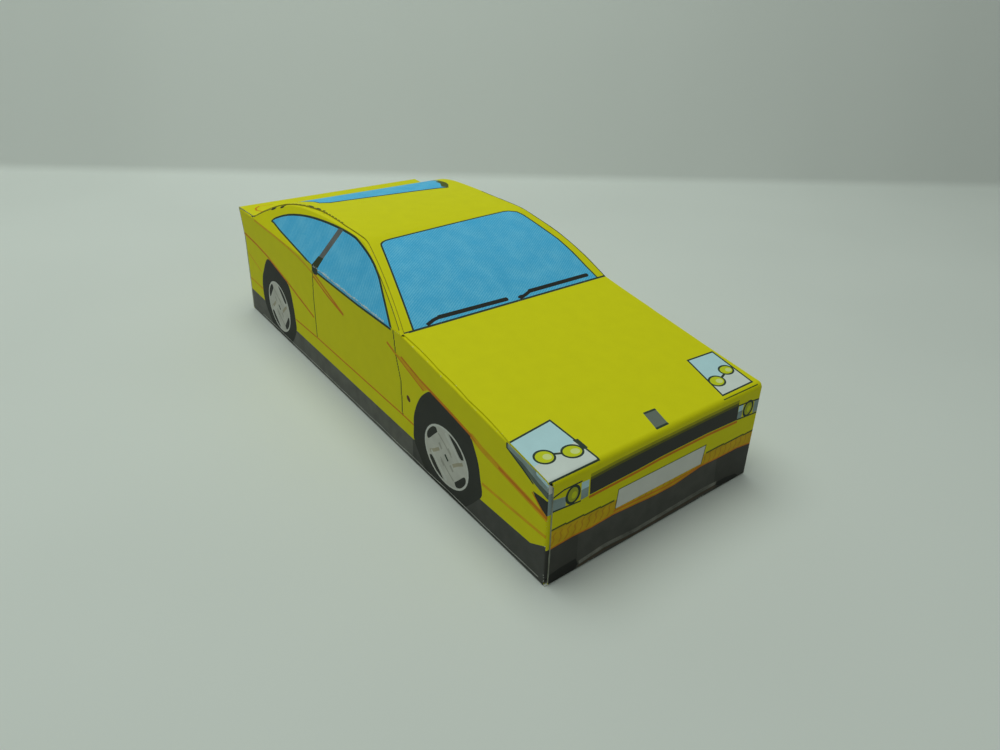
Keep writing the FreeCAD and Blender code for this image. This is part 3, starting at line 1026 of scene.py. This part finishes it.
# The small lamps, each between a pale strip and a blue-grey corner
for lamp_spot, strip_box, corner_box, brow, foot_line in (
    (
        (-17.3, 13.45),
        [(-15.9, 11.9), (-14.6, 12.0), (-14.6, 14.6), (-15.9, 14.7)],
        [(-21.2, 12.3), (-18.5, 12.1), (-18.5, 13.7), (-21.2, 14.2)],
        [(-20.6, 14.45), (-18.9, 14.9), (-15.9, 14.9)],
        [(-20.7, 12.25), (-15.9, 11.8)],
    ),
    (
        (18.6, 13.3),
        [(16.1, 12.3), (17.2, 12.2), (17.2, 14.5), (16.1, 14.6)],
        [(20.0, 12.0), (21.4, 11.9), (21.4, 14.0), (20.0, 14.2)],
        [(15.8, 14.65), (18.0, 14.5), (21.2, 14.1)],
        [(16.2, 12.15), (21.2, 11.7)],
    ),
):
    front_print += area(lamp_shade, strip_box)
    right_foot, left_foot, left_top, right_top = strip_box
    front_print += area(lamp_pale, [(right_foot[0], 13.5), (left_foot[0], 13.5), left_top, right_top])
    front_print += area(lamp_shade, corner_box)
    front_print += oval(outline_dark, lamp_spot, 1.3, 1.45)
    front_print += oval(lamp_olive, lamp_spot, 0.88, 1.1)
    front_print += oval(lamp_yellow, (lamp_spot[0] + 0.2, lamp_spot[1] - 0.15), 0.45, 0.55)
    front_print += stroke(outline_dark, brow, 0.25) + stroke(outline_dark, foot_line, 0.25)

# The foot is rubbed pale along the fold, and its ends are inked over again
worn_foot = [(-15.2, 0.75), (-10.5, 1.2), (-4.0, 0.8), (2.7, 1.0), (10.0, 1.2), (13.8, 1.15)]
worn_top = [(13.9, 1.75), (10.0, 1.95), (2.7, 1.7), (-4.0, 1.5), (-10.5, 1.9), (-15.3, 1.4)]
front_print += area(foot_worn, worn_foot + worn_top)
front_print += stroke(foot_brown, [(x, z - 0.3) for x, z in worn_foot], 0.35)
inked_right = [
    (-past_side, past_foot), (-past_side, 1.6), (-18.8, 2.05), (-15.9, 2.15),
    (-15.4, 0.9), (-16.2, 0.1), (-18.0, past_foot),
]
inked_left = [(13.7, 1.15), (14.2, 1.5), (15.9, 1.55), (18.7, 1.1), (19.5, 0.5), (18.0, 0.1), (14.8, 0.5)]
front_print += area(pen_black, inked_right) + area(pen_black, inked_left)


def edge_lay(edge, stands):
    # A flat panel between the sides, drawn by its width and, if it stands, its height, or else its length
    y, z = body[edge]
    slope = rise(edge)
    if stands:
        origin = Vector((0, y - z / slope, 0))
        up = Vector((0, 1 / slope, 1))
    else:
        origin = Vector((0, 0, z - y * slope))
        up = Vector((0, 1, slope))
    return flat_lay(origin, Vector((1, 0, 0)), up, outward_normal(edge))


card_sheet(
    "front_card",
    "front_panel",
    outline=box(front_near_edge, front_far_edge, 0.0, body[BONNET][1]),
    folds=[front_foot_fold, CUT, nose_fold, CUT],
    lay=edge_lay(FRONT, stands=True),
    ground=yellow,
    shapes=front_print,
)


# Bonnet
# The bonnet runs from the nose fold back to the cowl, with a printed headlight at each front corner.
# Its two long edges are cut by hand and glued down on tabs from the sides.
lamp_white = ink("lamp_white", (0.70, 0.74, 0.72), speckle=0.03)
badge_grey = ink("badge_grey", (0.156, 0.18, 0.156), speckle=0.12, mottle=0.05)

lamp_rim = 0.3
crease_half = millimetres("roof_strip")[1].x
windscreen_slope = math.radians(26.5)
cowl_fold = fold(windscreen_slope - edge_angle(BONNET), wear=0.3)
nose_y = body[BONNET][0]
cowl_y = body[ROOF][0]

# The two hand-cut edges, the left one from the nose to the cowl and the right one from there back
bonnet_left = [
    (half_width, nose_y), (21.05, -44.0), (20.9, -36.0), (20.85, -26.0), (20.8, -18.0), (crease_half, cowl_y),
]
bonnet_right = [
    (-crease_half, cowl_y), (-20.75, -17.6), (-20.7, -21.0), (-20.85, -24.5), (-20.75, -28.0),
    (-20.95, -32.0), (-20.85, -35.0), (-20.95, -38.6), (-21.15, -41.2),
]


def headlight(corners, ovals, link):
    # A white box with a dark outline, pale blue over its rear half, and two round lamps joined by a line
    core = inset_outline(corners, [lamp_rim] * len(corners))
    rear = core[:2] + [core[1].lerp(core[2], 0.55), core[0].lerp(core[3], 0.62)]
    shapes = area(outline_dark, corners)
    shapes += area(lamp_white, [tuple(p) for p in core])
    shapes += area(lamp_pale, [tuple(p) for p in rear])
    shapes += stroke(outline_dark, link, 0.35)
    for centre, wide, high, slant in ovals:
        shapes += oval(outline_dark, centre, wide + lamp_rim, high + lamp_rim, slant)
        shapes += oval(lamp_yellow, centre, wide, high, slant)
        shapes += oval(lamp_glint, (centre[0] + 0.35, centre[1] - 0.15), wide * 0.5, high * 0.5, slant)
    return shapes


bonnet_print = headlight(
    [(-21.6, -41.3), (-13.6, -40.4), (-12.7, -49.45), (-21.6, -49.5)],
    [((-18.9, -45.6), 1.25, 1.0, -0.25), ((-15.0, -46.55), 1.35, 0.95, -0.2)],
    [(-17.6, -45.7), (-16.4, -46.2)],
)
bonnet_print += area(outline_dark, [(-13.6, -45.0), (-12.8, -45.1), (-12.7, -47.0), (-13.4, -47.0)])
bonnet_print += headlight(
    [(14.7, -39.9), (20.6, -40.2), (20.1, -48.7), (12.7, -48.7)],
    [((18.6, -44.6), 1.15, 0.85, 0.0), ((14.95, -45.8), 1.25, 0.95, 0.0)],
    [(17.4, -45.2), (16.2, -45.6)],
)
bonnet_print += stroke(door_line, [(12.4, -49.25), (20.4, -49.3)], 0.15)
bonnet_print += area(badge_grey, [(-1.0, -45.6), (1.3, -45.7), (0.6, -49.0), (-1.8, -49.0)])
for points, width in (
    ([(-0.9, -45.75), (1.2, -45.85)], 0.35),
    ([(-1.7, -48.85), (0.6, -48.85)], 0.35),
    ([(-20, cowl_y - 0.08), (21, cowl_y - 0.08)], 0.16),
):
    bonnet_print += stroke(outline_dark, points, width)

card_sheet(
    "bonnet_card",
    "bonnet_panel",
    outline=[(-half_width, nose_y)] + bonnet_left + bonnet_right,
    folds=[nose_fold] + [CUT] * (len(bonnet_left) - 1) + [cowl_fold] + [CUT] * len(bonnet_right),
    lay=edge_lay(BONNET, stands=False),
    ground=yellow,
    shapes=bonnet_print,
    cut_face=yellow,
)


# Roof strip
# Windscreen, roof and rear window are one strip, curled over the cabin and glued to its notched tabs.
# Seen from the side it is four bends, each tangent to the next, from the cowl to the boot.
cut_line_black = ink("cut_line_black", (0.05, 0.06, 0.03), speckle=0.15)
olive_cut_line_shade = ink("olive_cut_line_shade", (0.19, 0.18, 0.02), speckle=0.30, mottle=0.20)
# The strip's cut edges are painted brown, as the shade along them
shaded_strip_edge = ink("shaded_strip_edge", (0.38, 0.33, 0.04), speckle=0.20, mottle=0.20, wear=0.5)

slopes = [windscreen_slope] + [math.radians(a) for a in (18.0, 2.0, -5.0, -34.0)]
header_radius = 9.0
strip_inset = 0.3


def tilted(slope):
    # The direction square to a line at this slope, away from the car, seen from the side
    return Vector((-math.sin(slope), math.cos(slope)))


def roof_radii():
    # The tight bend over the windscreen has its own radius. The others are as large as the strip needs
    # to reach its highest point and to come down on the boot.
    length = body[BOOT][0] - body[ROOF][0]
    boot_rise = body[BOOT][1] - body[ROOF][1]
    roof_rise = millimetres("roof_strip")[1].z - body[ROOF][1]
    windscreen, header, roof, rear = [tilted(b) - tilted(a) for a, b in zip(slopes, slopes[1:])]
    to_top = tilted(0.0) - tilted(slopes[2])
    shares = Matrix((
        (windscreen.x, roof.x, rear.x),
        (windscreen.y, roof.y, rear.y),
        (windscreen.y, to_top.y, 0.0),
    ))
    wanted = Vector((length, boot_rise, roof_rise)) - Vector((header.x, header.y, header.y)) * header_radius
    first, third, fourth = shares.inverted() @ wanted
    return [first, header_radius, third, fourth]


radii = roof_radii()
bend_starts = [(0.0, Vector(body[ROOF]))]
for radius, a, b in zip(radii, slopes, slopes[1:]):
    s, p = bend_starts[-1]
    bend_starts.append((s + radius * (a - b), p + (tilted(b) - tilted(a)) * radius))
strip_length = bend_starts[-1][0]


def strip_line(s):
    # The point (y, z) and the slope at this length along the strip from the cowl
    if s <= 0 or s >= strip_length:
        start, p = bend_starts[0] if s <= 0 else bend_starts[-1]
        slope = slopes[0] if s <= 0 else slopes[-1]
        return p + Vector((math.cos(slope), math.sin(slope))) * (s - start), slope
    for (start, p), (end, q), radius, slope in zip(bend_starts, bend_starts[1:], radii, slopes):
        if s <= end:
            turned = slope - (s - start) / radius
            return p + (tilted(turned) - tilted(slope)) * radius, turned


def strip_lay(depth):
    # A sheet that follows the strip's curve, this far under its outer face
    def lay(x, s):
        point, slope = strip_line(s)
        across = Vector((0, math.cos(slope), math.sin(slope)))
        normal = Vector((0, -math.sin(slope), math.cos(slope)))
        return Vector((x, point.x, point.y)) - normal * depth, Vector((1, 0, 0)), across, normal

    return lay


hinge_start = Vector(side_points[ROOF])
hinge_along = (Vector(side_points[BOOT]) - hinge_start).normalized()
hinge_up = Vector((-hinge_along.y, hinge_along.x))


def over_hinge(s, depth):
    # How far along the cabin's fold, and how high over it, a point at this depth under the strip lies
    point, slope = strip_line(s)
    point = point - tilted(slope) * depth - hinge_start
    return point.dot(hinge_along), point.dot(hinge_up)


def half_at(s, depth, inset):
    # Half the car's width at this length along the strip, on the cabin sides or this far inside them
    return half_width - (over_hinge(s, depth)[1] * math.sin(lean) + inset) / math.cos(lean)


most_sagitta = 0.002
strip_steps = [0.0]
for (start, p), (end, q), radius in zip(bend_starts, bend_starts[1:], radii):
    count = math.ceil((end - start) / math.sqrt(8 * radius * most_sagitta))
    strip_steps += [start + (end - start) * (i + 1) / count for i in range(count)]


def near_edge(s, inset=0.0):
    # A point on or inside the strip's edge on the car's right, where it is cut a little narrow over the rear
    trim = float(np.interp(s, (28, 38, 46), (0, 0.7, 0.1)))
    return inset + trim - half_at(s, 0.0, strip_inset), s


def far_edge(s, inset=0.0):
    # The same on the left, where the strip stands out over the windscreen's side
    overhang = float(np.interp(s, (0, 5, 9, 13, 20, 30), (0.15, 1.0, 1.35, 1.45, 0.7, 0)))
    return half_at(s, 0.0, strip_inset) + overhang - inset, s


windscreen = [
    (-19.1, 0.2), (-18.3, 3.6), (-17.0, 9.1), (-15.7, 14.4), (-14.7, 18.4), (-14.5, 18.9), (-14.0, 19.3),
    (-13.2, 19.55), (-12.1, 19.65), (-1.6, 20.25), (6.5, 20.7), (12.3, 20.95), (13.4, 20.8), (14.8, 20.0),
    (15.5, 18.7), (16.6, 14.8), (17.8, 10.7), (18.35, 7.0), (18.65, 3.1), (19.05, 0.2),
]
rear_window = [
    (-14.4, 47.0), (-13.9, 45.6), (-13.7, 43.6), (-12.1, 42.5), (-8.8, 42.2), (-2.1, 41.4), (4.9, 40.6),
    (10.0, 39.9), (12.0, 39.3), (13.4, 41.0), (14.2, 43.0), (16.4, 57.2), (16.0, 58.3), (14.8, 58.8),
    (-14.8, 58.8), (-16.0, 58.3), (-16.4, 57.2),
]
corner_blot = [(12.3, 39.0), (14.2, 42.4), (14.9, 46.4), (13.6, 46.0), (13.0, 43.2), (11.6, 40.6)]
roof_print = area(glass_blue, windscreen)
roof_print += stroke(outline_dark, windscreen, 0.3)
roof_print += stroke(outline_dark, [(-21, 0.12), (21, 0.12)], 0.24)
roof_print += area(glass_blue, rear_window)
roof_print += stroke(outline_dark, rear_window + rear_window[:1], 0.35)
roof_print += stroke(outline_dark, rear_window[2:9], 0.55)
roof_print += area(door_line, corner_blot)

# The wipers, each an arm that thins towards its hub and a blade. The left one has a thick hub.
for arm, tip in (
    ([(-16.4, 0.45), (-15.1, 0.95), (-13.8, 1.2)], (-0.9, 1.0)),
    ([(1.7, 0.45), (3.0, 0.8), (4.4, 1.3)], (17.3, 1.3)),
):
    roof_print += stroke(pen_black, arm, 0.6) + stroke(pen_black, [arm[-1], tip], 0.78)
    roof_print += oval(pen_black, arm[-1], 0.45, 0.39) + oval(pen_black, tip, 0.4, 0.39)
roof_print += oval(pen_black, (2.1, 0.65), 0.75, 0.38)

# The cutting line: dashed and blotted over the rear on the right, and a thin dark line on the left
first_dash = 29.5
dash_pitch = 1.3
dash_length = 0.7
for start in np.arange(first_dash, strip_length - 0.5, dash_pitch):
    roof_print += stroke(cut_line_black, [near_edge(start, 0.1), near_edge(start + dash_length, 0.1)], 0.16)
for s, half_wide, half_long in (
    (37.7, 0.2, 0.45), (39.6, 0.25, 0.8), (42.0, 0.28, 1.1), (50.4, 0.3, 0.8), (53.9, 0.32, 1.6),
):
    roof_print += oval(cut_line_black, near_edge(s, 0.2), half_wide, half_long)
roof_print += stroke(cut_line_black, [near_edge(s, 0.1) for s in (55.5, 57.0, 58.5, strip_length)], 0.28)
roof_print += stroke(cut_line_black, [far_edge(s, 0.08) for s in range(0, 34, 3)], 0.2)

card_sheet(
    "roof_card",
    "roof_strip",
    outline=[near_edge(s) for s in strip_steps[::-1]] + [far_edge(s) for s in strip_steps],
    folds=[CUT] * (len(strip_steps) - 1) + [cowl_fold] + [CUT] * (len(strip_steps) - 1) + [CUT],
    lay=strip_lay(0.0),
    ground=yellow,
    shapes=roof_print,
    guides=[[Vector((-half_width, s)), Vector((half_width, s))] for s in strip_steps[1:-1]],
    cut_face=shaded_strip_edge,
)


# Boot, spoiler and tail
# The same sheet goes on over the short boot, turns down at the tail and bends once more to the base.
# The rear's own print is out of sight in the photo, so it has plain lamps, a blank plate and a bumper.
tail_red = ink("tail_red", (0.50, 0.035, 0.02), speckle=0.08)

least_turn = 0.02
tip_fold = fold(turn_between(BOOT, SPOILER), wear=0.35)
bend_fold = fold(max(least_turn, abs(turn_between(SPOILER, TAIL))), wear=0.2)
boot_y = body[BOOT][0]
tip_y = body[SPOILER][0]
boot_print = stroke(orange, [(-17.6, 48.4), (-18.8, 47.4), (-19.1, 46.1), (-18.4, 44.9)], 0.36)
boot_print += stroke(faint_orange, [(-17.6, 48.4), (-14.8, 48.2)], 0.3)
boot_print += stroke(door_line, [(-21, boot_y + 0.12), (21, boot_y + 0.12)], 0.2)
card_sheet(
    "boot_card",
    "boot_panel",
    outline=[(-crease_half, boot_y), (crease_half, boot_y), (half_width, tip_y), (-half_width, tip_y)],
    folds=[CUT, CUT, tip_fold, CUT],
    lay=edge_lay(BOOT, stands=False),
    ground=yellow,
    shapes=boot_print,
)

bend_z = body[TAIL][1]
tail_bumper_top = [(-past_side, 6.0), (-16, 6.5), (16, 6.5), (past_side, 6.0)]
tail_print = area(bumper_grey, [(-past_side, past_foot)] + tail_bumper_top + [(past_side, past_foot)])
tail_print += stroke(orange, [(x, z + 0.1) for x, z in tail_bumper_top], 0.22)
rear_plate = [(-9.1, 8.0), (-9.1, 11.1), (9.1, 11.1), (9.1, 8.0)]
tail_print += area(plate_white, rear_plate)
tail_print += stroke(door_line, rear_plate + rear_plate[:1], 0.15)
tail_print += stepped_line(door_line, [(-past_side, 7.3), (past_side, 7.3)])
for flip in (-1, 1):
    lamp_box = [(12.6 * flip, 11.2), (20.4 * flip, 11.4), (20.6 * flip, 14.6), (12.4 * flip, 14.9)]
    tail_print += area(outline_dark, lamp_box)
    tail_print += area(tail_red, [tuple(p) for p in inset_outline(lamp_box, [lamp_rim] * 4)])
    tail_print += oval(lamp_yellow, (18.3 * flip, 13.0), 1.1, 1.1)
    tail_print += oval(lamp_white, (14.9 * flip, 13.0), 1.1, 1.1)

for piece, edge, top_fold, low_fold, low, high, shapes in (
    ("spoiler", SPOILER, tip_fold, bend_fold, bend_z, body[SPOILER][1], ()),
    ("tail", TAIL, bend_fold, tail_foot_fold, 0.0, bend_z, tail_print),
):
    card_sheet(
        piece + "_card",
        piece + "_panel",
        outline=box(-half_width, half_width, low, high),
        folds=[low_fold, CUT, top_fold, CUT],
        lay=edge_lay(edge, stands=True),
        ground=yellow,
        shapes=shapes,
    )


# Cabin sides
# The upper sides lean in from the fold under the windows, cut to the roof's curve.
# Each has two printed windows with a pillar between them and a dashed cutting line along the roof.
pillar_brown = ink("pillar_brown", (0.15, 0.15, 0.15), speckle=0.35, mottle=0.15)

# The strip lies nearly level over the sides, so its folds turn by about 90 degrees less their lean
roof_fold = fold(math.radians(59), wear=0.25)
least_height = 0.01
arc = []
for s in strip_steps:
    along, height = over_hinge(s, card)
    if height > least_height:
        arc.append((hinge_start.x + along * hinge_along.x, height / math.cos(lean)))

glass_top = curve_through([
    (35.2, 1.9), (34.15, 2.9), (30.3, 4.85), (24.7, 6.5), (18.8, 7.55), (12.9, 8.2), (8.2, 8.4), (5.7, 8.2),
    (0.8, 7.1), (-3.0, 5.6), (-6.1, 3.7), (-12.2, -0.2),
])
glass_foot = [(15.5, -0.1), (22.4, 0.6), (30.6, 1.4), (34.2, 1.9), (35.2, 1.9)]
pillar = [(15.3, -0.3), (12.8, 8.1), (11.2, 8.35), (13.8, -0.3)]
cabin_print = area(glass_blue, glass_top + glass_foot)
cabin_print += stroke(outline_dark, glass_top, 0.4)
cabin_print += stroke(outline_dark, glass_foot, 0.3)
cabin_print += area(pillar_brown, pillar)
cabin_print += area(cut_line_black, [(15.7, -0.3), (14.8, 2.0), (13.0, 2.2), (13.5, -0.3)])


def under_roof(y, inset):
    # A point on the cabin side this far below the fold along the roof
    return y, float(np.interp(y, [p[0] for p in arc], [p[1] for p in arc])) - inset


# The cutting line: beside the windscreen a faint olive line, partly print and partly painted shade along the
# fold; dashed and blotted over the rear window
cabin_print += stroke(olive_cut_line_shade, [under_roof(y, 0.1) for y in range(-14, 0, 2)], 0.16)
cabin_print += stroke(cut_line_black, [under_roof(y, 0.1) for y in (37.5, 39.0, 40.6, 42.4)], 0.2)
for y, half_long in ((33.7, 0.7), (36.5, 0.9)):
    cabin_print += oval(cut_line_black, under_roof(y, 0.2), half_long, 0.26, turn=-0.55)

for side, word in car_sides:
    up = Vector((0, hinge_up.x, hinge_up.y)) * math.cos(lean) - Vector((side, 0, 0)) * math.sin(lean)
    out = Vector((side, 0, 0)) * math.cos(lean) + Vector((0, hinge_up.x, hinge_up.y)) * math.sin(lean)
    run = Vector((0, hinge_along.x, hinge_along.y)) / hinge_along.x
    card_sheet(
        "cabin_card_" + word,
        "cabin_panel_" + word,
        outline=[(hinge_end_y, 0.0)] + arc[::-1] + [(hinge_y, 0.0)] + [(y, 0.0) for y, z in hinge_breaks],
        folds=[roof_fold] * (len(arc) + 1) + hinge_folds,
        lay=flat_lay(Vector((side * half_width, *hinge_start)) - run * hinge_start.x, run, up, out),
        ground=yellow,
        shapes=cabin_print,
    )


# Glue tabs
# The sides end in tabs that are folded in under the front, the bonnet, the boot and the tail.
# Only their folded edges show, yellow and rubbed, beside the hand-cut panels that are glued over them.
tab_gap = 0.8
corner_gap = 0.05
inked_reach = 1.2
for side, word in car_sides:
    for piece, edge, width, chamfer in (
        ("front_tab", FRONT, 4.0, 2.5),
        ("bonnet_tab", BONNET, 4.0, 2.5),
        ("boot_tab", BOOT, 3.0, 1.5),
        ("tail_tab", TAIL, 4.0, 2.5),
    ):
        start = Vector(side_points[edge])
        run = Vector(side_points[edge + 1]) - start
        length = run.length
        along = Vector((0, *(run / length)))
        tab_print = area(yellow, box(-1, length + 1, -1, inked_reach))
        # The folds run on to the corners of the bonnet, so that no hole shows there
        begin = corner_gap if piece == "bonnet_tab" else tab_gap
        end = length - (corner_gap if piece in ("front_tab", "bonnet_tab") else tab_gap)
        if piece == "front_tab":
            # The side's print runs on over this fold
            for print_ink, low, high in (
                (grille_black, 0.0, 6.0), (lamp_shade, 11.7, 15.0), (plate_white, 15.0, 17.0),
            ):
                tab_print += area(print_ink, box(low, high, -1, inked_reach))
        slant = tab_gap + chamfer
        corner = Vector((side * half_width, *start))
        card_sheet(
            piece + "_card_" + word,
            piece + "_" + word,
            outline=[(begin, 0.0), (end, 0.0), (length - slant, width), (slant, width)],
            folds=[tab_fold, CUT, CUT, CUT],
            lay=flat_lay(corner, along, Vector((-side, 0, 0)), outward_normal(edge)),
            ground=white_card,
            shapes=tab_print,
        )


# The roof tabs follow the cabin's curve, so each is notched into teeth that fan as it bends
tooth_pitch = 4.6
notch_mouth = 1.8
notch_root = 0.7
tab_width = 3.0
shoulder = 1.2
point_width = 0.6
point_gap = 0.1
inner_guide = 10.0
roof_tab_low, roof_tab_high = millimetres("roof_tab_right")


def on_fold(s):
    return half_at(s, card, 0.0)


def roof_tab_outline():
    # Along the fold on the cabin's edge, then back along the teeth. Both ends run out in a narrow point.
    steps = [point_gap] + strip_steps[1:-1] + [strip_length - point_gap]
    toothed = [s for s in steps if roof_tab_low.y <= strip_line(s)[0].x <= roof_tab_high.y]
    first = toothed[0]
    last = toothed[-1]
    teeth = int((last - first) / tooth_pitch)
    margin = (last - first - (teeth - 1) * tooth_pitch) / 2
    reaches = [(steps[-1], point_width), (last, shoulder), (last, tab_width)]
    for i in reversed(range(teeth)):
        middle = first + margin + i * tooth_pitch
        half = notch_mouth / 2
        reaches += [(middle + half, tab_width), (middle, notch_root), (middle - half, tab_width)]
    reaches += [(first, tab_width), (first, shoulder), (steps[0], point_width)]
    return [(on_fold(s), s) for s in steps], [(on_fold(s) - reach, s) for s, reach in reaches]


fold_edge, inner_edge = roof_tab_outline()
for side, word in car_sides:
    # The blots of the cutting line run on over the fold
    blots = []
    for s, half_long in ((50.4, 0.8), (53.9, 1.4)):
        blots += oval(cut_line_black, (side * (on_fold(s) - 0.2), s), 0.32, half_long)
    card_sheet(
        "roof_tab_card_" + word,
        "roof_tab_" + word,
        outline=[(side * x, s) for x, s in fold_edge + inner_edge],
        folds=[roof_fold] * (len(fold_edge) - 1) + [CUT] * (len(inner_edge) + 1),
        lay=strip_lay(card),
        ground=yellow,
        shapes=blots,
        guides=[[Vector((side * inner_guide, s)), Vector((side * half_width, s))] for s in strip_steps[1:-1]],
    )
